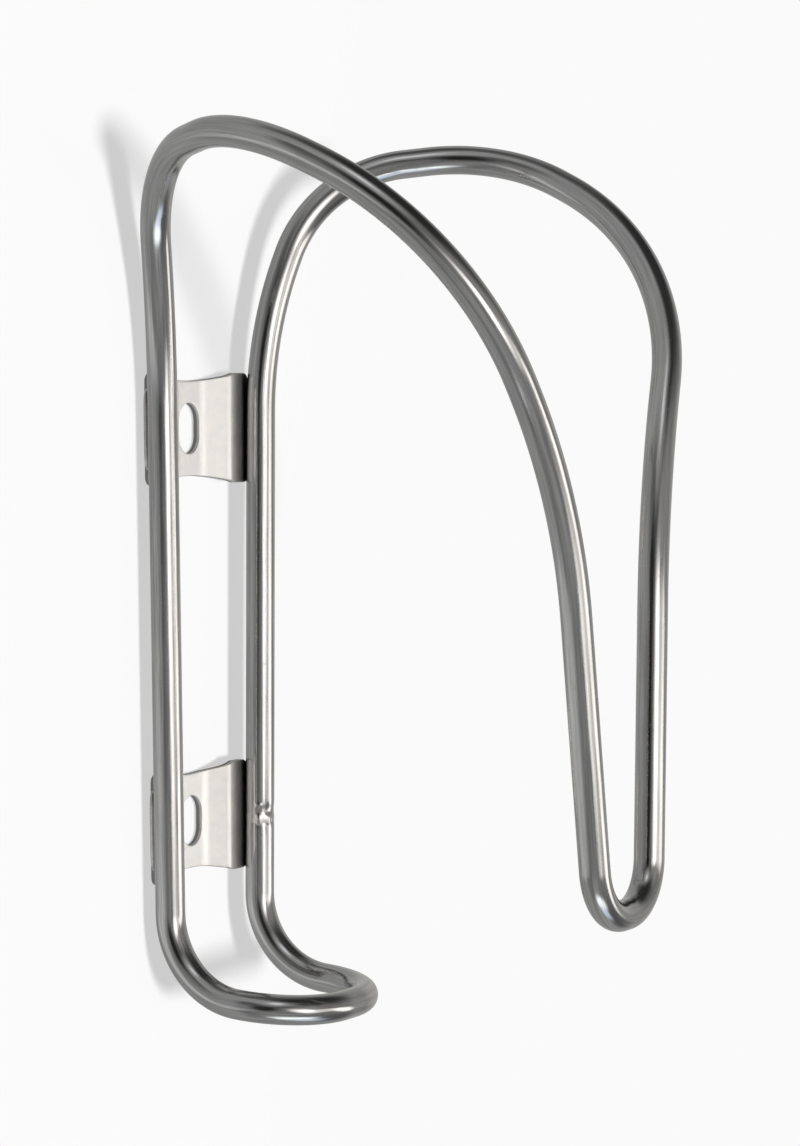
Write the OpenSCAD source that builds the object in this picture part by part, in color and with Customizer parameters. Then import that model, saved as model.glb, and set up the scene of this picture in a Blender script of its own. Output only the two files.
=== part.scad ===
// Bottle cage for a bicycle: one closed loop of bent stainless tube on two slotted sheet tabs.
//
// Frame: millimetres, +Z along the bottle towards its mouth, +Y back into the bicycle's tube and
// -Y out to the front of the cage. X = 0 is the cage's plane of symmetry. The origin is the middle
// of the two-slot bolt pattern, on the plane that the backs of the tabs lie in.
//
// The loop is described by its virtual corners: the points where the straight runs would meet if
// the tube were folded sharply. Each corner is then rounded by a bend of its own radius, as on a
// bending machine, so the loop is made of straight cylinders and pieces of torus only.

/* [Tube] */
// Outside diameter of the loop's tube (3/16 inch)
tube_d = 4.76; // [4.5:0.01:5]
// Wall thickness of the tube
tube_wall = 0.5; // [0.4:0.05:0.8]
// Root gap of the butt joint that closes the loop
joint_gap = 0.6; // [0.3:0.1:1]
// Height of the butt joint on the rail
joint_z = -32.5; // [-40:0.5:-24]
// How far the joint's weld bead stands proud of the tube
joint_bead = 0.15; // [0.1:0.05:0.5]

/* [Back rails] */
// Distance from the mounting plane to the rails' centre lines
rail_stand = 5.8; // [5.4:0.1:6.5]
// Distance between the rails' centre lines at the top corners
rail_top_gap = 29; // [28:0.5:31]
// Height of the rails' top corners
rail_top_z = 48; // [46:0.5:48.5]
// Bend radius at the rails' top corners
rail_top_bend = 66; // [60:1:68]
// Distance between the rails' centre lines at the foot
rail_foot_gap = 26; // [25.5:0.5:28]
// Height of the rails' foot corners
rail_foot_z = -57.5; // [-60:0.5:-56]
// Bend radius at the foot
rail_foot_bend = 13.5; // [11:0.5:13.5]

/* [Bottom shelf] */
// How far the shelf reaches forward of the rails
shelf_reach = 25; // [25:0.5:30]
// Distance between the shelf's front corners
shelf_gap = 28; // [26:0.5:28]
// Drop of the shelf from the foot corners to the front corners
shelf_drop = 2; // [2:0.5:3]
// Bend radius of the shelf's front corners
shelf_bend = 12; // [10:0.5:12]

/* [Front loop] */
// How far the bottom of the front loop stands forward of the rails
loop_reach = 74; // [72:0.5:77]
// Distance between the loop's bottom corners
loop_gap = 17; // [17:0.5:20]
// Height of the loop's bottom corners
loop_z = -41.5; // [-45:0.5:-38]
// Bend radius of the loop's bottom corners
loop_bend = 8.5; // [7:0.5:8.5]
// How far the tops of the front legs stand forward of the rails
leg_reach = 72; // [70:0.5:75]
// Distance between the tops of the front legs
leg_gap = 29; // [27:0.5:31]
// Height of the tops of the front legs
leg_z = 22; // [18:0.5:22.5]
// Bend radius at the tops of the front legs
leg_bend = 84; // [70:1:84]

/* [Shoulders] */
// Forward reach of the shoulders' front corners
shoulder_front_reach = 66; // [64:0.5:67]
// Distance between the shoulders' front corners
shoulder_front_gap = 72; // [70:0.5:74]
// Height of the shoulders' front corners
shoulder_front_z = 60.5; // [59:0.5:62]
// Bend radius of the shoulders' front corners
shoulder_front_bend = 46; // [40:1:48]
// Forward reach of the shoulders' outermost corners
shoulder_side_reach = 31; // [30:0.5:33]
// Distance between the shoulders' outermost corners
shoulder_side_gap = 82; // [80:0.5:84]
// Height of the shoulders' outermost corners
shoulder_side_z = 77.5; // [76:0.5:79]
// Bend radius of the shoulders' outermost corners
shoulder_side_bend = 27; // [22:1:28]
// Forward reach of the shoulders' back corners
shoulder_back_reach = 5; // [4:0.5:6]
// Distance between the shoulders' back corners
shoulder_back_gap = 49; // [48:0.5:52]
// Height of the shoulders' back corners
shoulder_back_z = 74; // [73:0.5:75]
// Bend radius of the shoulders' back corners
shoulder_back_bend = 23; // [20:1:24]

/* [Tabs] */
// Distance between the two mounting slots, the standard pitch of bottle bosses
boss_pitch = 64; // [63:0.5:65]
// Sheet thickness of the tabs
tab_t = 1.2; // [1:0.1:1.5]
// Height of a tab where it meets the rails
tab_h = 18; // [17:0.5:19]
// Height of a tab at its waist
tab_waist_h = 15.4; // [15:0.2:17]
// Width of the flat web between the inner folds
tab_web_w = 7; // [6.5:0.5:8]
// Width of the flat ledge at each end, which a rail rests on
tab_ledge = 5.8; // [5:0.2:6.2]
// Width of the full-height foot at each end, outside the waist
tab_foot = 4; // [3.5:0.5:5]
// Corner radius of a tab's ends
tab_corner_r = 1.4; // [0.8:0.2:2]
// Width of a mounting slot
slot_w = 5.8; // [5.4:0.1:6.2]
// Length of a mounting slot from end to end
slot_len = 8.2; // [7.5:0.1:9]

/* [Tab welds] */
// Length of the weld bead along each end of a tab
bead_len = 13; // [10:0.5:14]
// Radius of a tab's weld bead
bead_r = 0.6; // [0.5:0.1:0.8]
// How far a bead's centre lies outboard of its rail's centre line
bead_out = 0.4; // [0.3:0.1:0.6]
// How far a bead's centre lies behind its rail's centre line
bead_back = 2.75; // [2.6:0.05:2.9]

/* [Hidden] */
$fn = 48;

tube_r = tube_d / 2;
slit = 0.02; // clearance between parts that only bear on each other
swell = 0.01; // how much fuller a bend is than a straight run
overlap = 0.1; // how far a straight run goes on inside its bends
eps = 1; // how far a cutting tool runs past the face that it cuts

// One corner of the loop: [place, bend radius]. Reach is measured forward from the rails' plane.
function corner(reach, gap, z, bend) = [[gap / 2, -rail_stand - reach, z], bend];

// The right-hand half of the loop, from the front down, over the shoulder and down the rail.
HALF_LOOP = [
    corner(loop_reach, loop_gap, loop_z, loop_bend),
    corner(leg_reach, leg_gap, leg_z, leg_bend),
    corner(shoulder_front_reach, shoulder_front_gap, shoulder_front_z, shoulder_front_bend),
    corner(shoulder_side_reach, shoulder_side_gap, shoulder_side_z, shoulder_side_bend),
    corner(shoulder_back_reach, shoulder_back_gap, shoulder_back_z, shoulder_back_bend),
    corner(0, rail_top_gap, rail_top_z, rail_top_bend),
    corner(0, rail_foot_gap, rail_foot_z, rail_foot_bend),
    corner(shelf_reach, shelf_gap, rail_foot_z - shelf_drop, shelf_bend)
];
HALF_COUNT = len(HALF_LOOP);
RAIL_RUN = 5; // the run from the rail's top corner to its foot, which holds the butt joint

function mirrored(c) = [[-c[0].x, c[0].y, c[0].z], c[1]];
LOOP = concat(HALF_LOOP, [for (i = [HALF_COUNT - 1 : -1 : 0]) mirrored(HALF_LOOP[i])]);
COUNT = len(LOOP);

function unit(v) = v / norm(v);
function place(i) = LOOP[(i + COUNT) % COUNT][0];
function bend_radius(i) = LOOP[(i + COUNT) % COUNT][1];
// Direction of run i, which goes from corner i to corner i + 1
function heading(i) = unit(place(i + 1) - place(i));
// Angle that the tube turns through at corner i
function turn(i) = acos(heading(i - 1) * heading(i));
// How much of each straight the bend at corner i uses up
function setback(i) = bend_radius(i) * tan(turn(i) / 2);
function run_start(i) = place(i) + heading(i) * setback(i);
function run_end(i) = place(i + 1) - heading(i) * setback(i + 1);

// Puts its children in the frame with the given axes and origin
module in_frame(x_axis, y_axis, origin) {
    z_axis = cross(x_axis, y_axis);
    multmatrix([
        [x_axis.x, y_axis.x, z_axis.x, origin.x],
        [x_axis.y, y_axis.y, z_axis.y, origin.y],
        [x_axis.z, y_axis.z, z_axis.z, origin.z],
        [0, 0, 0, 1]
    ])
    children();
}

// A round bar of radius r from one point to another
module bar(from, to, r) {
    along = unit(to - from);
    side = unit(cross(along, [1, 0.3, 0.2]));
    in_frame(side, cross(along, side), from)
        cylinder(h = norm(to - from), r = r);
}

// The straight run i, which ends inside the bends at its two ends
module run(i, r) {
    bar(run_start(i) - overlap * heading(i), run_end(i) + overlap * heading(i), r);
}

// The bend at corner i: a piece of torus between the ends of runs i - 1 and i, a hair fuller
module bend(i, r) {
    inward = unit(heading(i) - heading(i - 1));
    centre = place(i) + inward * bend_radius(i) / cos(turn(i) / 2);
    in_frame(unit(run_end(i - 1) - centre), heading(i - 1), centre)
        rotate_extrude(angle = turn(i))
        translate([bend_radius(i), 0])
            circle(r = r + swell);
}

// The whole loop as a solid bar of radius r
module loop_bar(r) {
    for (i = [0 : COUNT - 1]) {
        run(i, r);
        bend(i, r);
    }
}

// The middle of the butt joint, on the right-hand rail
joint_place = rail_point(joint_z);

// The point of the right-hand rail's centre line at height z
function rail_point(z) =
    place(RAIL_RUN) + heading(RAIL_RUN) * (z - place(RAIL_RUN).z) / heading(RAIL_RUN).z;

// A round bar on the right-hand rail's axis, from one distance above the joint to another
module joint_bar(from, to, r) {
    up = -heading(RAIL_RUN);
    bar(joint_place + from * up, joint_place + to * up, r);
}

// The closed loop of bent tube, cut through once at its butt joint
module loop_tube() {
    color("silver")
    difference() {
        loop_bar(tube_r);
        loop_bar(tube_r - tube_wall);
        joint_bar(-joint_gap / 2, joint_gap / 2, tube_r + eps);
    }
}

// The bead that fills the butt joint's gap and crowns it
module joint_weld() {
    color("lightgray")
    difference() {
        translate(joint_place)
            sphere(r = tube_r + joint_bead, $fn = 64);
        joint_bar(joint_gap / 2, tube_d, tube_r);
        joint_bar(-tube_d, -joint_gap / 2, tube_r);
        joint_bar(-tube_d, tube_d, tube_r - tube_wall);
    }
}

// The middle of a tab's sheet, seen from above, from x = 0 to the tab's end at end_x: a flat web
// against the mounting plane, then a slope forward to the ledge that a rail rests on.
web_y = -tab_t / 2;
ledge_y = -(rail_stand - tube_r - slit - tab_t / 2);
fold_run = 0.8; // how much of each straight a fold uses up
fold_steps = 4;

function tab_corners(end_x) = [
    [tab_web_w / 2, web_y], [end_x - tab_ledge, ledge_y]
];
// A rounded fold at the corner b, on the way from a to c
function fold(a, b, c) = [
    for (k = [0 : fold_steps])
        let (u = k / fold_steps, from = b + unit(a - b) * fold_run, to = b + unit(c - b) * fold_run)
            (1 - u) * (1 - u) * from + 2 * u * (1 - u) * b + u * u * to
];
function half_sheet(end_x) =
    let (web = tab_corners(end_x)[0], ledge = tab_corners(end_x)[1])
        concat(fold([0, web_y], web, ledge), fold(web, ledge, [end_x, ledge_y]), [[end_x, ledge_y]]);
function flipped(points) = [for (i = [len(points) - 1 : -1 : 0]) [-points[i].x, points[i].y]];
// The points moved sideways from their line by the distance d
function beside(points, d) = [
    for (i = [0 : len(points) - 1])
        let (
            along = unit(points[min(i + 1, len(points) - 1)] - points[max(i - 1, 0)])
        ) points[i] + d * [-along.y, along.x]
];

// The bent sheet of a tab, as long along Z as the tab is high
module bent_sheet(end_x) {
    middle = concat(flipped(half_sheet(end_x)), half_sheet(end_x));
    back = beside(middle, tab_t / 2);
    front = beside(middle, -tab_t / 2);
    translate([0, 0, -tab_h / 2])
        linear_extrude(tab_h)
        polygon(concat(front, [for (i = [len(back) - 1 : -1 : 0]) back[i]]));
}

// A tab's outline from the front: rounded ends and a shallow round waist above and below
module tab_outline(end_x) {
    dip = (tab_h - tab_waist_h) / 2;
    half_waist = end_x - tab_foot;
    waist_r = (half_waist * half_waist + dip * dip) / (2 * dip);
    difference() {
        union() {
            square([2 * end_x, tab_h - 2 * tab_corner_r], center = true);
            square([2 * (end_x - tab_corner_r), tab_h], center = true);
            for (side = [-1, 1], level = [-1, 1])
                translate([side * (end_x - tab_corner_r), level * (tab_h / 2 - tab_corner_r)])
                    circle(r = tab_corner_r);
        }
        for (level = [-1, 1])
            translate([0, level * (tab_waist_h / 2 + waist_r)])
                circle(r = waist_r, $fn = 128);
        tab_slot();
    }
}

module tab_slot() {
    straight = slot_len - slot_w;
    square([slot_w, straight], center = true);
    for (level = [-1, 1])
        translate([0, level * straight / 2])
            circle(r = slot_w / 2);
}

// A tab whose slot is centred at height z
module tab(z) {
    end_x = rail_point(z).x;
    translate([0, 0, z])
    intersection() {
        bent_sheet(end_x);
        translate([0, eps, 0])
            rotate([90, 0, 0])
            linear_extrude(rail_stand)
            tab_outline(end_x);
    }
}

module upper_tab() {
    color("gainsboro")
        tab(boss_pitch / 2);
}

// The lower tab has a small hollow that clears the butt joint's bead
module lower_tab() {
    color("gainsboro")
    difference() {
        tab(-boss_pitch / 2);
        translate(joint_place)
            sphere(r = tube_r + joint_bead + slit, $fn = 64);
    }
}

// The bead in the corner between a rail and the end of the tab at height z, on the +X side
module tab_weld(z) {
    reach = bead_len / 2 - bead_r;
    offset_from_rail = [bead_out, bead_back, 0];
    bottom = rail_point(z - reach) + offset_from_rail;
    top = rail_point(z + reach) + offset_from_rail;
    color("lightgray")
    difference() {
        union() {
            bar(bottom, top, bead_r);
            translate(bottom)
                sphere(r = bead_r + swell);
            translate(top)
                sphere(r = bead_r + swell);
        }
        run(RAIL_RUN, tube_r);
        bend(RAIL_RUN, tube_r);
        tab(z);
    }
}

module upper_right_weld() {
    tab_weld(boss_pitch / 2);
}

module upper_left_weld() {
    mirror([1, 0, 0])
        tab_weld(boss_pitch / 2);
}

module lower_right_weld() {
    tab_weld(-boss_pitch / 2);
}

module lower_left_weld() {
    mirror([1, 0, 0])
        tab_weld(-boss_pitch / 2);
}

loop_tube();
joint_weld();
upper_tab();
lower_tab();
upper_left_weld();
upper_right_weld();
lower_left_weld();
lower_right_weld();
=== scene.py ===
"""Water bottle cage: a loop of bent stainless tube on two folded, slotted mounting tabs.

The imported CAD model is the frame. Everything shown is a finer piece that stands for a CAD node: the swept
tube with the marks beside its butt joint, the joint's dressed bead, the tabs with their rounded edges, and
the tabs' rippled beads. Units are metres; +Z is along the bottle towards its mouth, +Y goes back into the
bicycle, and the front of the cage faces -Y.
"""

import math

import bmesh
import bpy
from mathutils import Matrix, Vector, noise


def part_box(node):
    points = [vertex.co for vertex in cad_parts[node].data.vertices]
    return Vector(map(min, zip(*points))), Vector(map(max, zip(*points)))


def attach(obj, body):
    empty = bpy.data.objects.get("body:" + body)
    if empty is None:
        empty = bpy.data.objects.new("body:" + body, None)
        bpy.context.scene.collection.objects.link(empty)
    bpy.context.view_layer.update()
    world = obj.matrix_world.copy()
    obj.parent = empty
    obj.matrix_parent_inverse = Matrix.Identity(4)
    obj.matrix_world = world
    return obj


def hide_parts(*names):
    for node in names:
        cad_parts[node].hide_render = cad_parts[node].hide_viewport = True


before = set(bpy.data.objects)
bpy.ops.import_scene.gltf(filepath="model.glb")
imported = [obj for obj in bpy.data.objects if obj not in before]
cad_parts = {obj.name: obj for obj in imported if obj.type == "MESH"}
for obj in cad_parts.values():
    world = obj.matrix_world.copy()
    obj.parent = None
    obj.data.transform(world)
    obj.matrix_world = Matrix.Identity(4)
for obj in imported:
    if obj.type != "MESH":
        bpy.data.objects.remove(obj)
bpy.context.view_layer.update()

MM = 0.001

# Driving dimensions, as in the CAD model
TUBE_R = 2.38 * MM
RAIL_STAND = 5.8 * MM
JOINT_Z = -32.5 * MM
JOINT_GAP = 0.6 * MM
BOSS_PITCH = 64 * MM
TAB_T = 1.2 * MM
TAB_H = 18 * MM
TAB_WAIST_H = 15.4 * MM
TAB_WEB_W = 7 * MM
TAB_LEDGE = 5.8 * MM
TAB_FOOT = 4 * MM
TAB_CORNER_R = 1.4 * MM
SLOT_W = 5.8 * MM
SLOT_LEN = 8.2 * MM
SLIT = 0.02 * MM

# Fineness of the tube's path: in bends, along straights, and close to the butt joint
BEND_STEP = math.radians(1.5)
PATH_STEP = 1.5 * MM
JOINT_STEP = 0.15 * MM
JOINT_STEPS_REACH = 3 * MM

# How much slimmer the weld has pulled the tube at its ends, in mm, and over what length
PULLED_IN = 0.07
PULL_REACH = 0.8 * MM

# Marks above the butt joint: height in mm, azimuth and its reach in degrees, rise and its reach in mm
DENT = (-0.15, -5, 48, 1.35, 0.85)
DROP = (0.09, -62, 10, 2.1, 0.35)
MARKS_REACH = 5 * MM

# The butt joint's bead: how far it reaches to each side, and the flat that is filed on its front, with its
# greatest height in mm, its azimuth and reach in degrees, and its rise and reach in mm
BEAD_HALF_WIDTH = 1.7 * MM
FLAT_HEIGHT = 0.135
FLAT_AZIMUTH, FLAT_REACH = -42, 29
FLAT_RISE, FLAT_SPREAD = -0.4, 1.0

# The rest of that bead, in mm: how uneven it is, how full in its middle, and how deep it is dressed
BEAD_LUMPS = 0.03
BEAD_CROWN = 0.03
BEAD_DRESSED = 0.035

# A tab's bead: its radius, its centre outward and back from the rail's, and the length of a ripple; then
# the ripples and lumps as a share of the radius, and how many lumps there are in a metre
TAB_BEAD_R = 0.56 * MM
TAB_BEAD_OUT = 0.4 * MM
TAB_BEAD_BACK = 2.75 * MM
RIPPLE = 0.6 * MM
RIPPLE_DEPTH = 0.004
LUMP_DEPTH = 0.03
LUMPS_PER_METRE = 300

# Where a tab's end lies in its grain coordinates
NOMINAL_END = 14 * MM

# The tabs: roundness of the sheared edges and of the folds, and fineness of the mesh
TAB_EDGE_R = 0.14 * MM
FOLD_SOFTNESS = 0.8 * MM
OUTLINE_STEP = 0.35 * MM
CORNER_STEPS = 8
BEND_CUT = 0.4 * MM
LENGTH_CUT = 0.9 * MM


# ---------------------------------------------------------------- the loop's path


def corner(reach, gap, z, bend):
    """A virtual corner of the loop, from millimetres: forward reach, width across, height and bend radius."""
    return Vector((gap / 2 * MM, -RAIL_STAND - reach * MM, z * MM)), bend * MM


def mirrored(right_corner):
    place, bend = right_corner
    return Vector((-place.x, place.y, place.z)), bend


# The right-hand half of the loop, from the front loop over the shoulder and down the rail to the shelf
HALF_LOOP = [
    corner(74, 17, -41.5, 8.5),
    corner(72, 29, 22, 84),
    corner(66, 72, 60.5, 46),
    corner(31, 82, 77.5, 27),
    corner(5, 49, 74, 23),
    corner(0, 29, 48, 66),
    corner(0, 26, -57.5, 13.5),
    corner(25, 28, -59.5, 12),
]
LOOP = HALF_LOOP + [mirrored(c) for c in reversed(HALF_LOOP)]
RAIL_TOP = 5
RAIL_FOOT = 6


def rail_point(z):
    """The point of the right-hand rail's centre line at height z."""
    top, foot = LOOP[RAIL_TOP][0], LOOP[RAIL_FOOT][0]
    return top.lerp(foot, (z - top.z) / (foot.z - top.z))


def bend_points(before, here, after, radius):
    """Points round the bend at a corner, from the end of one straight to the start of the next."""
    arrive, leave = (here - before).normalized(), (after - here).normalized()
    turn = arrive.angle(leave)
    centre = here + (leave - arrive).normalized() * radius / math.cos(turn / 2)
    outward = (here - arrive * radius * math.tan(turn / 2) - centre).normalized()
    count = max(2, math.ceil(turn / BEND_STEP))
    angles = [turn * k / count for k in range(count + 1)]
    return [centre + radius * (outward * math.cos(a) + arrive * math.sin(a)) for a in angles]


def loop_path():
    """The closed centre line as points, starting and ending at the two sides of the butt joint's gap."""
    start = rail_point(JOINT_Z)
    down = (LOOP[RAIL_FOOT][0] - LOOP[RAIL_TOP][0]).normalized()
    points = [start + down * JOINT_GAP / 2]
    count = len(LOOP)
    for k in range(count):
        i = (RAIL_FOOT + k) % count
        before, here, after = LOOP[i - 1][0], LOOP[i][0], LOOP[(i + 1) % count][0]
        points += bend_points(before, here, after, LOOP[i][1])
    points.append(start - down * JOINT_GAP / 2)
    near = down * JOINT_STEPS_REACH
    points[0:1] = filled_in([points[0], points[0] + near], JOINT_STEP)
    points[-1:] = filled_in([points[-1] - near, points[-1]], JOINT_STEP)
    return filled_in(points, PATH_STEP)


def filled_in(points, longest):
    """The same points, with more between any two that are farther apart than longest."""
    dense = [points[0]]
    for a, b in zip(points, points[1:]):
        count = max(1, math.ceil((b - a).length / longest))
        dense += [a.lerp(b, k / count) for k in range(1, count + 1)]
    return dense


def tangents(points):
    last = len(points) - 1
    return [(points[min(i + 1, last)] - points[max(i - 1, 0)]).normalized() for i in range(last + 1)]


# ---------------------------------------------------------------- mesh helpers


def add_piece(name, mesh, material, node):
    """Puts a mesh in the scene as the piece that stands for one CAD node."""
    obj = bpy.data.objects.new(name, mesh)
    bpy.context.scene.collection.objects.link(obj)
    mesh.materials.append(material)
    for face in mesh.polygons:
        face.use_smooth = True
    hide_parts(node)
    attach(obj, "root")
    return obj


def store_grain(mesh, values):
    """Stores each point's place in the metal before it was bent, which the materials' grain follows."""
    layer = mesh.attributes.new("grain", "FLOAT_VECTOR", "POINT")
    layer.data.foreach_set("vector", [c for v in values for c in v])


def ring_faces(rings, around, closed_caps=False):
    faces = []
    for i in range(rings - 1):
        for j in range(around):
            a, b = i * around + j, i * around + (j + 1) % around
            faces.append((a, b, b + around, a + around))
    if closed_caps:
        faces.append(tuple(reversed(range(around))))
        faces.append(tuple(range((rings - 1) * around, rings * around)))
    return faces


# ---------------------------------------------------------------- the tube


def drawn_in(from_end):
    """How much slimmer the tube is at a distance from its end, where the weld has pulled it in, in mm."""
    return PULLED_IN * math.exp(-((from_end / PULL_REACH) ** 2))


def hump(value, middle, reach, power=2):
    """1 at the middle, falling away over the reach; a higher power has a flatter top and steeper sides."""
    return math.exp(-(abs((value - middle) / reach) ** power))


def mark_height(mark, azimuth, rise):
    height, mark_azimuth, azimuth_reach, mark_rise, rise_reach = mark
    return height * hump(azimuth, mark_azimuth, azimuth_reach) * hump(rise, mark_rise, rise_reach)


def joint_relief(place):
    """Height in mm of the dent above the butt joint and of the drop of metal on its edge."""
    out = place - rail_point(place.z)
    azimuth = math.degrees(math.atan2(out.x, -out.y))
    rise = (place.z - JOINT_Z) / MM
    return mark_height(DROP, azimuth, rise) + mark_height(DENT, azimuth, rise)


def swept_tube(points, around=96):
    """Vertices, grain coordinates and faces of a round tube swept along points without twisting."""
    verts, grain = [], []
    side = tangents(points)[0].orthogonal().normalized()
    travelled = 0.0
    length = sum((b - a).length for a, b in zip(points, points[1:]))
    for i, (p, along) in enumerate(zip(points, tangents(points))):
        side = (side - along * side.dot(along)).normalized()
        up = along.cross(side)
        travelled += (p - points[i - 1]).length if i else 0.0
        from_end = min(travelled, length - travelled)
        slim = TUBE_R - drawn_in(from_end) * MM
        for j in range(around):
            a = 2 * math.pi * j / around
            outward = side * math.cos(a) + up * math.sin(a)
            relief = joint_relief(p + outward * slim) * MM if from_end < MARKS_REACH else 0.0
            verts.append(p + outward * (slim + relief))
            grain.append((slim * math.cos(a), slim * math.sin(a), travelled))
    return verts, grain, ring_faces(len(points), around, closed_caps=True)


def make_tube(material):
    verts, grain, faces = swept_tube(loop_path())
    mesh = bpy.data.meshes.new("loop_tube_skin")
    mesh.from_pydata(verts, [], faces)
    store_grain(mesh, grain)
    return add_piece("loop_tube_skin", mesh, material, "loop_tube")


# ---------------------------------------------------------------- the butt joint's bead


def bead_height(azimuth, rise):
    """How far the joint's bead stands above the tube, in mm, at a turn in degrees and a rise in mm."""
    turn = math.radians(azimuth)
    lumpy = noise.noise((math.cos(turn), math.sin(turn), 0.5 * rise + 4))
    off_flat = min(abs(azimuth - FLAT_AZIMUTH), 60)
    flat = min(FLAT_HEIGHT, 0.01 + TUBE_R / MM * (1 / math.cos(math.radians(off_flat)) - 1))
    filed = flat * hump(azimuth, FLAT_AZIMUTH, FLAT_REACH, 6) * hump(rise, FLAT_RISE, FLAT_SPREAD, 4)
    crown = BEAD_CROWN * hump(rise, 0, 0.7) - 0.02 * rise * rise
    return filed + BEAD_LUMPS * lumpy + crown - BEAD_DRESSED


def make_joint_bead(material):
    """The weld round the butt joint, dressed nearly flush, with a flat that was filed on its front."""
    around, across = 160, 48
    centre = rail_point(JOINT_Z)
    along = (LOOP[RAIL_TOP][0] - LOOP[RAIL_FOOT][0]).normalized()
    front = Vector((0, -1, 0))
    side = (front - along * front.dot(along)).normalized()
    up = along.cross(side)
    verts, grain = [], []
    for i in range(across + 1):
        z = BEAD_HALF_WIDTH * (2 * i / across - 1)
        for j in range(around):
            a = 2 * math.pi * j / around
            outward = side * math.cos(a) + up * math.sin(a)
            level = centre + along * z
            azimuth = math.degrees(math.atan2(outward.x, -outward.y))
            r = TUBE_R + (bead_height(azimuth, z / MM) + joint_relief(level + outward * TUBE_R)) * MM
            verts.append(level + outward * r)
            grain.append((r * math.cos(a), r * math.sin(a), z))
    mesh = bpy.data.meshes.new("joint_bead")
    mesh.from_pydata(verts, [], ring_faces(across + 1, around))
    store_grain(mesh, grain)
    return add_piece("joint_bead", mesh, material, "joint_weld")


# ---------------------------------------------------------------- the tabs


def sheet_middle(end_x):
    """The tab's sheet seen from above: a function from x to the y of its middle, and its slope there."""
    web_y = -TAB_T / 2
    ledge_y = -(RAIL_STAND - TUBE_R - SLIT - TAB_T / 2)
    inner, outer = TAB_WEB_W / 2, end_x - TAB_LEDGE
    rise = (ledge_y - web_y) / (outer - inner)
    soft = FOLD_SOFTNESS

    def ramp(x, at):
        """0 before at, growing with slope 1 after it, with a round change over soft on each side."""
        d = x - at
        if abs(d) >= soft:
            return max(d, 0.0)
        return (d + soft) ** 2 / (4 * soft)

    def slope_of(x, at):
        return min(max((x - at + soft) / (2 * soft), 0.0), 1.0)

    def y(x):
        return web_y + rise * (ramp(abs(x), inner) - ramp(abs(x), outer))

    def slope(x):
        return math.copysign(rise * (slope_of(abs(x), inner) - slope_of(abs(x), outer)), x)

    return y, slope


def tab_outline(end_x):
    """The tab's outer edge from the front, anticlockwise: round corners, a shallow waist top and bottom."""
    half_h, r = TAB_H / 2, TAB_CORNER_R
    dip = (TAB_H - TAB_WAIST_H) / 2
    half_waist = end_x - TAB_FOOT
    waist_r = (half_waist**2 + dip**2) / (2 * dip)
    points = []

    def arc(cx, cz, start):
        for k in range(CORNER_STEPS + 1):
            a = math.radians(start + 90 * k / CORNER_STEPS)
            points.append((cx + r * math.cos(a), cz + r * math.sin(a)))

    def waist(sign):
        count = math.ceil(2 * half_waist / OUTLINE_STEP)
        for k in range(count + 1):
            x = sign * half_waist * (1 - 2 * k / count)
            points.append((x, sign * (half_h - dip + waist_r - math.sqrt(waist_r**2 - x**2))))

    arc(end_x - r, half_h - r, 0)
    waist(1)
    arc(-end_x + r, half_h - r, 90)
    arc(-end_x + r, -half_h + r, 180)
    waist(-1)
    arc(end_x - r, -half_h + r, 270)
    return points


def slot_outline(count=20):
    """The slot's edge from the front: two half circles and the straights between them."""
    r, shift = SLOT_W / 2, (SLOT_LEN - SLOT_W) / 2
    turn = [math.pi * k / count for k in range(count + 1)]
    top = [(r * math.cos(a), shift + r * math.sin(a)) for a in turn]
    return top + [(-x, -z) for x, z in top]


def inset(outline, amount):
    """The closed outline moved towards its left-hand side by amount; a negative amount moves it out."""
    moved = []
    count = len(outline)
    for k, (x, z) in enumerate(outline):
        (x0, z0), (x1, z1) = outline[k - 1], outline[(k + 1) % count]
        run = math.hypot(x1 - x0, z1 - z0)
        moved.append((x - (z1 - z0) / run * amount, z + (x1 - x0) / run * amount))
    return moved


def rim_profile(edge_r, steps=4):
    """Inset and depth of the loops that run round a sheared edge, from the front face to the back one."""
    half = TAB_T / 2
    turn = [math.radians(90 * k / steps) for k in range(steps + 1)]
    front = [(edge_r * (1 - math.sin(a)), -half + edge_r * (1 - math.cos(a))) for a in turn]
    return front + [(into, -depth) for into, depth in reversed(front)]


def blank(end_x, edge_r):
    """The tab as a flat sheet in the plane y = 0, slotted, edges rounded, cut fine enough to be bent."""
    bm = bmesh.new()
    faces_edges = [[], []]
    for outline, into in ((tab_outline(end_x), 1), (slot_outline(), -1)):
        rings = []
        for amount, depth in rim_profile(edge_r):
            rings.append([bm.verts.new((x, depth, z)) for x, z in inset(outline, into * amount)])
        for upper, lower in zip(rings, rings[1:]):
            for k in range(len(upper)):
                bm.faces.new((upper[k - 1], upper[k], lower[k], lower[k - 1]))
        for side, ring in enumerate((rings[0], rings[-1])):
            faces_edges[side] += [bm.edges.get((ring[k - 1], ring[k])) for k in range(len(ring))]
    for edges in faces_edges:
        bmesh.ops.triangle_fill(bm, use_beauty=True, use_dissolve=False, edges=edges, normal=(0, -1, 0))
    for axis, reach, spacing in (((1, 0, 0), end_x, BEND_CUT), ((0, 0, 1), TAB_H / 2, LENGTH_CUT)):
        cuts = math.floor(reach / spacing)
        for k in range(-cuts, cuts + 1):
            place = [c * k * spacing for c in axis]
            geometry = bm.verts[:] + bm.edges[:] + bm.faces[:]
            bmesh.ops.bisect_plane(bm, geom=geometry, dist=1e-7, plane_co=place, plane_no=axis)
    bmesh.ops.recalc_face_normals(bm, faces=bm.faces[:])
    return bm


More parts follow.
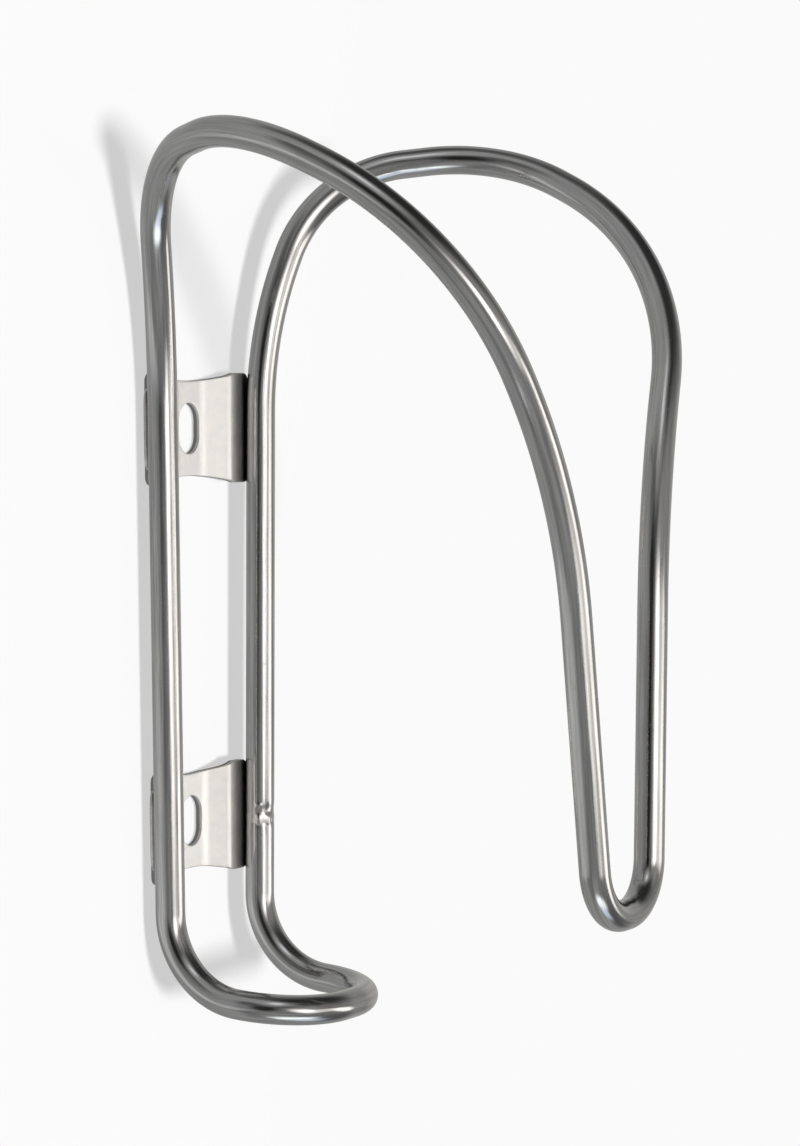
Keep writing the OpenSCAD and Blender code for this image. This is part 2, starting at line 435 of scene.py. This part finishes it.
def make_tab(name, node, z, material):
    end_x = rail_point(z).x
    bm = blank(end_x, TAB_EDGE_R)
    y, slope = sheet_middle(end_x)
    grain = []
    for v in bm.verts:
        x, depth, level = v.co
        grain.append((x * NOMINAL_END / end_x, depth, level))
        normal = Vector((-slope(x), 1, 0)).normalized()
        v.co = Vector((x, y(x), z + level)) + normal * depth
    mesh = bpy.data.meshes.new(name)
    bm.to_mesh(mesh)
    bm.free()
    store_grain(mesh, grain)
    return add_piece(name, mesh, material, node)


# ---------------------------------------------------------------- the tabs' beads


def make_tab_bead(name, node, material):
    """A short bead of weld metal along the end of a tab, rippled and tapering at both ends."""
    low, high = (Vector(c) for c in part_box(node))
    side = 1 if low.x > 0 else -1
    rings, around = 90, 20
    verts, grain = [], []
    for i in range(rings):
        t = i / (rings - 1)
        z = low.z + (high.z - low.z) * t
        rail = rail_point(z)
        taper = max(0.02, (1 - abs(2 * t - 1) ** 6)) ** 0.5
        for j in range(around):
            a = 2 * math.pi * j / around
            ripple = 1 + RIPPLE_DEPTH * math.sin(2 * math.pi * (z / RIPPLE) - 1.4 * math.cos(a))
            lump = 1 + LUMP_DEPTH * noise.noise((math.cos(a), math.sin(a), z * LUMPS_PER_METRE + side * 3))
            r = TAB_BEAD_R * taper * ripple * lump
            x = rail.x + TAB_BEAD_OUT + r * math.cos(a)
            y = rail.y + TAB_BEAD_BACK + r * math.sin(a)
            verts.append(Vector((side * x, y, z)))
            grain.append((r * math.cos(a), r * math.sin(a), z))
    mesh = bpy.data.meshes.new(name)
    mesh.from_pydata(verts, [], ring_faces(rings, around, closed_caps=True))
    if side < 0:
        mesh.flip_normals()
    store_grain(mesh, grain)
    return add_piece(name, mesh, material, node)


# ---------------------------------------------------------------- materials

# The tube's drawing lines, dark and light, and its clouding
DRAWN_DARK = (0.47, 0.465, 0.46, 1)
DRAWN_LIGHT = (0.66, 0.655, 0.645, 1)
DRAWN_CLOUD = (0.58, 0.585, 0.60, 1)

# The tabs' blotches, dark and light; the torn part of their edges, darkened with painted shade; and on their
# front faces by the rails, painted shade and a painted dark reflection of the rail
SHEET_DARK = (0.87, 0.855, 0.84, 1)
SHEET_LIGHT = (0.94, 0.92, 0.88, 1)
SHEET_TORN_AND_SHADED = (0.30, 0.29, 0.28, 1)
SHEET_SHADE = (0.16, 0.15, 0.145, 1)
SHEET_PAINTED_REFLECTION = (0.02, 0.019, 0.018, 1)

# The weld metal, bright and straw tinted
WELD_BRIGHT = (0.70, 0.69, 0.68, 1)
WELD_STRAW = (0.64, 0.62, 0.59, 1)

# Where these lie on a tab, in mm: the painted shade and the painted reflection of the rail, outward from its
# middle; then the front face and both ends of the torn part with its painted shade, by depth from the middle
# of the sheet
SHADE_SPAN = (8.4, 12.0)
PAINTED_REFLECTION_SPAN = (11.9, 13.2)
FRONT_FACE = (-0.30, -0.45)
TORN_AND_SHADED_START = (-0.2, -0.05)
TORN_AND_SHADED_END = (0.57, 0.5)


class Nodes:
    """A short way to build a node tree. Inputs are given by name, or by place as i0, i1 and so on."""

    def __init__(self, tree):
        self.tree = tree
        tree.nodes.clear()

    def add(self, kind, settings=None, **inputs):
        node = self.tree.nodes.new(kind)
        for key, value in (settings or {}).items():
            setattr(node, key, value)
        for key, value in inputs.items():
            by_place = key[0] == "i" and key[1:].isdigit()
            self.feed(node.inputs[int(key[1:]) if by_place else key.replace("_", " ")], value)
        return node

    def feed(self, socket, value):
        """Links another node's output to the socket, or sets the socket's own value."""
        if isinstance(value, bpy.types.NodeSocket):
            self.tree.links.new(value, socket)
        else:
            socket.default_value = value

    def math(self, operation, a, b=0.0):
        return self.add("ShaderNodeMath", {"operation": operation}, i0=a, i1=b).outputs[0]

    def ramp(self, value, low, high, to_low=0.0, to_high=1.0):
        node = self.add("ShaderNodeMapRange", {"interpolation_type": "SMOOTHSTEP"}, Value=value)
        for key, number in (("From Min", low), ("From Max", high), ("To Min", to_low), ("To Max", to_high)):
            node.inputs[key].default_value = number
        return node.outputs[0]

    def mix(self, factor, a, b):
        node = self.add("ShaderNodeMix", {"data_type": "RGBA"})
        for index, value in ((0, factor), (6, a), (7, b)):
            self.feed(node.inputs[index], value)
        return node.outputs[2]

    def noise(self, vector, scale, detail=3.0, roughness=0.5):
        settings = {"Scale": scale, "Detail": detail, "Roughness": roughness}
        return self.add("ShaderNodeTexNoise", Vector=vector, **settings).outputs["Fac"]

    def stretched(self, vector, scale):
        return self.add("ShaderNodeMapping", Vector=vector, Scale=scale).outputs[0]

    def dot(self, vector, axis):
        node = self.add("ShaderNodeVectorMath", {"operation": "DOT_PRODUCT"}, i0=vector, i1=axis)
        return node.outputs["Value"]


def new_material(name):
    material = bpy.data.materials.new(name)
    material.use_nodes = True
    return material, Nodes(material.node_tree)


def grain_of(nodes):
    """The point's place in the unbent metal, in millimetres."""
    place = nodes.add("ShaderNodeAttribute", {"attribute_name": "grain"}).outputs["Vector"]
    return nodes.add("ShaderNodeVectorMath", {"operation": "SCALE"}, Vector=place, Scale=1 / MM).outputs[0]


def metal_output(nodes, colour, roughness, height, distance, strength):
    """Bare metal with a fine relief: distance is how deep it is, and strength how much of that shows."""
    bump = nodes.add("ShaderNodeBump", Height=height, Distance=distance, Strength=strength)
    surface = {"Base_Color": colour, "Roughness": roughness, "Metallic": 1.0, "Normal": bump.outputs[0]}
    shader = nodes.add("ShaderNodeBsdfPrincipled", **surface)
    nodes.add("ShaderNodeOutputMaterial", Surface=shader.outputs[0])


def tube_steel():
    """Drawn stainless tube: fine lengthwise drawing lines, faint clouding and scattered handling scuffs."""
    material, n = new_material("tube_steel")
    place = grain_of(n)
    lines = n.noise(n.stretched(place, (7.0, 7.0, 0.12)), 1.0, 4.0, 0.6)
    broad = n.noise(n.stretched(place, (1.5, 1.5, 0.06)), 1.0, 2.0)
    speckle = n.noise(n.stretched(place, (3.0, 3.0, 1.6)), 1.0, 3.0, 0.6)
    cloud = n.noise(place, 0.22, 3.0)
    scuff = n.ramp(n.noise(n.stretched(place, (2.0, 2.0, 0.7)), 1.0, 5.0, 0.7), 0.58, 0.72)
    tone = n.math("MULTIPLY", n.math("ADD", lines, broad), 0.5)
    colour = n.mix(n.ramp(tone, 0.38, 0.62), DRAWN_DARK, DRAWN_LIGHT)
    colour = n.mix(n.math("MULTIPLY", n.ramp(cloud, 0.4, 0.7), 0.25), colour, DRAWN_CLOUD)
    rough = n.math("ADD", n.ramp(lines, 0.3, 0.7, 0.11, 0.17), n.math("MULTIPLY", scuff, 0.12))
    height = n.math("ADD", lines, n.math("MULTIPLY", speckle, 0.6))
    height = n.math("ADD", height, n.math("MULTIPLY", scuff, 0.3))
    metal_output(n, colour, rough, height, 0.012 * MM, 0.5)
    return material


def tab_steel():
    """Rolled stainless sheet with a satin face: fine upright grain, faint blotches, sheared edges that are
    torn dull towards the back and darkened there with painted shade, and on the front faces by the rails
    painted shade and a painted dark reflection of the rail.
    """
    material, n = new_material("tab_steel")
    place = grain_of(n)
    lines = n.noise(n.stretched(place, (9.0, 6.0, 0.25)), 1.0, 4.0, 0.6)
    blotch = n.noise(place, 0.35, 4.0, 0.6)
    fine = n.noise(place, 1.6, 4.0, 0.6)
    colour = n.mix(n.ramp(blotch, 0.35, 0.7), SHEET_DARK, SHEET_LIGHT)
    across, depth, _ = n.add("ShaderNodeSeparateXYZ", Vector=place).outputs
    out = n.math("ADD", n.math("ABSOLUTE", across), n.math("MULTIPLY", fine, 0.3))
    in_front = n.ramp(depth, *FRONT_FACE)
    # Painted shade and reflection: the front face greys outward towards the rail, where the ledge mirrors the
    # rail's dark side
    shade = n.math("MULTIPLY", n.ramp(out, *SHADE_SPAN, 0.0, 0.5), in_front)
    # Painted reflection: right by the rail the front face goes nearly black, for the rail's dark reflection
    # and the shade where they meet
    tone_mask = n.math("MULTIPLY", n.ramp(out, *PAINTED_REFLECTION_SPAN), in_front)
    colour = n.mix(shade, colour, SHEET_SHADE)
    colour = n.mix(n.math("MULTIPLY", tone_mask, 0.97), colour, SHEET_PAINTED_REFLECTION)
    # Painted shade: the back part of every sheared edge is darkened; the same mask also makes it rougher, as
    # a torn edge is
    torn_and_shaded = n.math("MULTIPLY", n.ramp(depth, *TORN_AND_SHADED_START), n.ramp(depth, *TORN_AND_SHADED_END))
    colour = n.mix(n.math("MULTIPLY", torn_and_shaded, 0.8), colour, SHEET_TORN_AND_SHADED)
    rough = n.math("ADD", n.ramp(lines, 0.3, 0.7, 0.39, 0.46), n.ramp(blotch, 0.3, 0.7, 0.0, 0.05))
    rough = n.math("ADD", rough, n.math("MULTIPLY", torn_and_shaded, 0.15))
    height = n.math("ADD", lines, n.math("MULTIPLY", blotch, 0.4))
    metal_output(n, colour, rough, height, 0.02 * MM, 0.7)
    return material


def weld_steel():
    """Weld metal, dressed bright, with a trace of straw and grey heat tint."""
    material, n = new_material("weld_steel")
    place = grain_of(n)
    grit = n.noise(place, 2.2, 4.0, 0.6)
    tone_mask = n.noise(place, 0.8, 2.0)
    colour = n.mix(n.ramp(tone_mask, 0.4, 0.65), WELD_BRIGHT, WELD_STRAW)
    rough = n.ramp(grit, 0.3, 0.7, 0.17, 0.27)
    metal_output(n, colour, rough, grit, 0.006 * MM, 0.3)
    return material


# ---------------------------------------------------------------- camera

AIM = Vector((-0.0005, -0.0410, 0.0095))
CAMERA_AZIMUTH, CAMERA_ELEVATION, CAMERA_ROLL = -59.70, 3.12, -0.20
CAMERA_DISTANCE = 0.5221
LENS = 104.8


def grey(level):
    return (level, level, level, 1)


def direction(azimuth, elevation):
    a, e = math.radians(azimuth), math.radians(elevation)
    return Vector((math.sin(a) * math.cos(e), -math.cos(a) * math.cos(e), math.sin(e)))


def facing(place, target, roll=0.0):
    """The matrix of a lamp or camera at place that looks at target."""
    turn = (target - place).to_track_quat("-Z", "Y").to_matrix().to_4x4()
    return Matrix.Translation(place) @ turn @ Matrix.Rotation(math.radians(roll), 4, "Z")


def add_camera():
    data = bpy.data.cameras.new("camera")
    data.lens, data.sensor_width, data.sensor_fit = LENS, 36, "AUTO"
    camera = bpy.data.objects.new("camera", data)
    place = AIM + direction(CAMERA_AZIMUTH, CAMERA_ELEVATION) * CAMERA_DISTANCE
    camera.matrix_world = facing(place, AIM, CAMERA_ROLL)
    bpy.context.scene.collection.objects.link(camera)
    bpy.context.scene.camera = camera


# ---------------------------------------------------------------- surroundings

# Soft oval panels round the cage as the metal sees them, painted one over another: azimuth, elevation and
# roll of the middle, half width and half height, all in degrees, softness of the edge, then the light's
# colour and strength
PANELS = [
    ("dim_overhead", 20, 67, 0, 62, 20, 0.5, (1, 1, 1), 0.035),
    ("high_left", -92, 60, 0, 44, 17, 0.5, (1, 1, 1), 0.37),
    ("dim_below", 40, -44, 0, 24, 16, 0.7, (1, 0.97, 1), 0.13),
    ("side_wall", 104, 2, 0, 42, 32, 0.5, (1, 0.99, 0.95), 0.48),
    ("photographer", -76, 12, 0, 16, 18, 0.5, (1, 0.98, 0.95), 0.02),
    ("key_glow", -10, 20, 0, 28, 13, 0.7, (1, 0.98, 0.96), 0.36),
    ("low_glow", -58, -33, 0, 24, 16, 0.7, (1, 1, 1), 0.34),
    ("warm_strip", 0, -1, 0, 17, 9, 0.5, (1, 0.96, 0.89), 1.05),
    ("second_panel", 32, -8, -24, 21, 8.5, 0.4, (1, 0.97, 0.93), 1.9),
    ("key_panel", -24.5, 1, -32, 20, 12, 0.4, (1, 0.975, 0.95), 1.6),
    ("key_core", -22, 3, 0, 8, 8, 0.7, (1, 0.98, 0.96), 3.2),
    ("low_panel", -34, -57, 8, 22, 10.5, 0.5, (0.93, 0.98, 1), 1.9),
    ("low_tail", -2, -66, 10, 18, 8, 0.6, (0.85, 0.96, 1.15), 1.1),
    ("high_glow", -62, 47, 0, 15, 15, 0.6, (1, 1, 1), 0.42),
    ("high_patch", -57, 53, 0, 7, 8, 0.6, (1, 1, 1.04), 1.0),
    ("low_back", -134, -14, 0, 38, 7, 0.5, (1, 1, 1), 0.64),
]

# How bright the plain room is to the metal: in front, from eye level up and down to the floor; behind; and
# overhead. BACKDROP is how bright it is to the camera
FRONT, FRONT_HIGH, FRONT_LOW, FRONT_FLOOR = 0.26, 0.05, 0.21, 0.36
BEHIND = 0.365
OVERHEAD = 0.11
BACKDROP = 0.956
FRONT_AZIMUTH = -20


def panel_mask(n, way, azimuth, elevation, roll, half_width, half_height, soft):
    """1 inside a soft-edged oval on the sphere of directions, 0 outside it."""
    centre = direction(azimuth, elevation)
    right = Matrix.Rotation(math.radians(roll), 3, centre) @ direction(azimuth + 90, 0)
    across = n.dot(way, right / math.sin(math.radians(half_width)))
    along = n.dot(way, right.cross(centre) / math.sin(math.radians(half_height)))
    squares = n.math("ADD", n.math("MULTIPLY", across, across), n.math("MULTIPLY", along, along))
    ahead = n.math("GREATER_THAN", n.dot(way, centre), 0.0)
    return n.math("MULTIPLY", n.ramp(n.math("SQRT", squares), 1 + soft, 1 - soft), ahead)


def add_world():
    """A softly lit studio as the metal sees it, with soft panels; plain and pale to the camera."""
    world = bpy.data.worlds.new("studio")
    world.use_nodes = True
    bpy.context.scene.world = world
    n = Nodes(world.node_tree)
    way = n.add("ShaderNodeTexCoord").outputs["Generated"]
    up = n.add("ShaderNodeSeparateXYZ", Vector=way).outputs["Z"]
    facing_front = n.dot(way, direction(FRONT_AZIMUTH, 0))
    front = n.mix(n.ramp(up, 0.15, 0.80), grey(FRONT), grey(FRONT_HIGH))
    front = n.mix(n.ramp(up, 0.0, -0.55), front, grey(FRONT_LOW))
    front = n.mix(n.ramp(up, -0.75, -0.98), front, grey(FRONT_FLOOR))
    seen = n.mix(n.ramp(facing_front, 0.12, -0.25), front, grey(BEHIND))
    seen = n.mix(n.ramp(up, 0.86, 0.99), seen, grey(OVERHEAD))
    for _, azimuth, elevation, roll, half_width, half_height, soft, colour, strength in PANELS:
        mask = panel_mask(n, way, azimuth, elevation, roll, half_width, half_height, soft)
        seen = n.mix(mask, seen, (*(c * strength for c in colour), 1))
    metal_sees = n.add("ShaderNodeBackground", Color=seen, Strength=1.0)
    camera_sees = n.add("ShaderNodeBackground", Color=grey(BACKDROP), Strength=1.0)
    is_camera = n.add("ShaderNodeLightPath").outputs["Is Camera Ray"]
    shader = n.add("ShaderNodeMixShader", i0=is_camera, i1=metal_sees.outputs[0], i2=camera_sees.outputs[0])
    n.add("ShaderNodeOutputWorld", Surface=shader.outputs[0])


# ---------------------------------------------------------------- wall, floor and lamps

# Part of the wall's and floor's brightness that is their own, and how much of the light that falls on them
# they return
STAGE_GLOW = 0.572
STAGE_ALBEDO = 0.10

# The wall fades out from its middle, and past the rails' shadows, whose edge leans outward above the middle;
# the floor fades out from its middle too
WALL_FADE = (0.22, 0.38)
PAST_RAILS = (0.026, 0.036)
SHADOW_LEAN = 0.32
FLOOR_FADE = (0.30, 0.70)

# The wall's size, its middle's height, its turn about the upright in degrees, and its distance behind the
# edge of a web; then the floor's size and its distance below the middle of the bolt pattern
WALL_SIZE = 0.8
WALL_HEIGHT = 8 * MM
WALL_TURN = 3.6
WALL_GAP = 0.05 * MM
FLOOR_SIZE = 1.5
FLOOR_DEPTH = 0.30

# Lamps: azimuth, elevation and size in the sky, in degrees, and strength
WALL_KEY = (-27, -3, 9, 12.5)
FLOOR_KEY = (-30, 72, 20, 13.0)
TAB_FILL = (33, -3, 62, 0.38)


def stage_plane(name, size, matrix, shader_of):
    """A flat stage piece that only the camera sees, so it doesn't change what the metal reflects."""
    bpy.ops.mesh.primitive_plane_add(size=size)
    plane = bpy.context.object
    plane.name, plane.matrix_world = name, matrix
    material, n = new_material(name)
    shader_of(n)
    plane.data.materials.append(material)
    plane.visible_glossy = plane.visible_diffuse = plane.visible_shadow = False
    return plane


def faded(n, shader, clear_when):
    """The shader, replaced by nothing where clear_when is 1."""
    clear = n.add("ShaderNodeBsdfTransparent")
    mixed = n.add("ShaderNodeMixShader", i0=clear_when, i1=shader, i2=clear.outputs[0])
    n.add("ShaderNodeOutputMaterial", Surface=mixed.outputs[0])


def pale_surface(n):
    """Pale and even, with part of its brightness left to the stage lamps, so that shadows stay light."""
    own = n.add("ShaderNodeEmission", Color=grey(STAGE_GLOW), Strength=1.0)
    matt = n.add("ShaderNodeBsdfDiffuse", Color=grey(STAGE_ALBEDO))
    return n.add("ShaderNodeAddShader", i0=own.outputs[0], i1=matt.outputs[0]).outputs[0]


def distance_from_middle(n):
    place = n.add("ShaderNodeTexCoord").outputs["Object"]
    return n.add("ShaderNodeVectorMath", {"operation": "LENGTH"}, i0=place).outputs["Value"]


def wall_shader(n):
    """Pale, fading out away from the rails, and clear from behind."""
    place = n.add("ShaderNodeSeparateXYZ", Vector=n.add("ShaderNodeTexCoord").outputs["Object"])
    lean = n.math("MULTIPLY", n.math("MAXIMUM", place.outputs["Y"], 0.0), SHADOW_LEAN)
    past_rails = n.ramp(n.math("SUBTRACT", place.outputs["X"], lean), *PAST_RAILS)
    fade = n.math("MAXIMUM", n.ramp(distance_from_middle(n), *WALL_FADE), past_rails)
    behind = n.add("ShaderNodeNewGeometry").outputs["Backfacing"]
    faded(n, pale_surface(n), n.math("MAXIMUM", fade, behind))


def floor_shader(n):
    faded(n, pale_surface(n), n.ramp(distance_from_middle(n), *FLOOR_FADE))


def add_sun(name, azimuth, elevation, width, strength, lit, mirrored_in_metal=False):
    """A lamp for the objects in lit alone: width is its size in the sky, in degrees."""
    data = bpy.data.lights.new(name, "SUN")
    data.angle, data.energy = math.radians(width), strength
    lamp = bpy.data.objects.new(name, data)
    lamp.matrix_world = facing(direction(azimuth, elevation), Vector((0, 0, 0)))
    lamp.visible_camera = False
    lamp.visible_glossy = mirrored_in_metal
    lamp.light_linking.receiver_collection = lit
    bpy.context.scene.collection.objects.link(lamp)


def add_stage():
    """A wall that one side of the tabs' webs all but touches, a floor below, and their lamps."""
    place = Matrix.Translation((-TAB_WEB_W / 2, WALL_GAP, WALL_HEIGHT))
    turned = place @ Matrix.Rotation(math.radians(WALL_TURN), 4, "Z")
    wall = stage_plane("wall", WALL_SIZE, turned @ Matrix.Rotation(math.radians(90), 4, "X"), wall_shader)
    floor = stage_plane("floor", FLOOR_SIZE, Matrix.Translation((0, 0, -FLOOR_DEPTH)), floor_shader)
    on_wall, on_floor = (bpy.data.collections.new(name) for name in ("wall_only", "floor_only"))
    on_wall.objects.link(wall)
    on_floor.objects.link(floor)
    add_sun("wall_key", *WALL_KEY, on_wall)
    add_sun("floor_key", *FLOOR_KEY, on_floor)


def add_tab_light(tabs):
    """A broad soft lamp for the satin tabs alone, whose faces turn away from the bright panels."""
    on_tabs = bpy.data.collections.new("tabs_only")
    for tab in tabs:
        on_tabs.objects.link(tab)
    add_sun("tab_fill", *TAB_FILL, on_tabs, mirrored_in_metal=True)


# ---------------------------------------------------------------- build


def main():
    tube, tab, weld = tube_steel(), tab_steel(), weld_steel()
    make_tube(tube)
    make_joint_bead(weld)
    upper = make_tab("upper_tab_plate", "upper_tab", BOSS_PITCH / 2, tab)
    lower = make_tab("lower_tab_plate", "lower_tab", -BOSS_PITCH / 2, tab)
    add_tab_light([upper, lower])
    for node in ("upper_left_weld", "upper_right_weld", "lower_left_weld", "lower_right_weld"):
        make_tab_bead(node + "_bead", node, weld)
    add_camera()
    add_world()
    add_stage()
    bpy.context.scene.view_settings.view_transform = "Standard"


main()
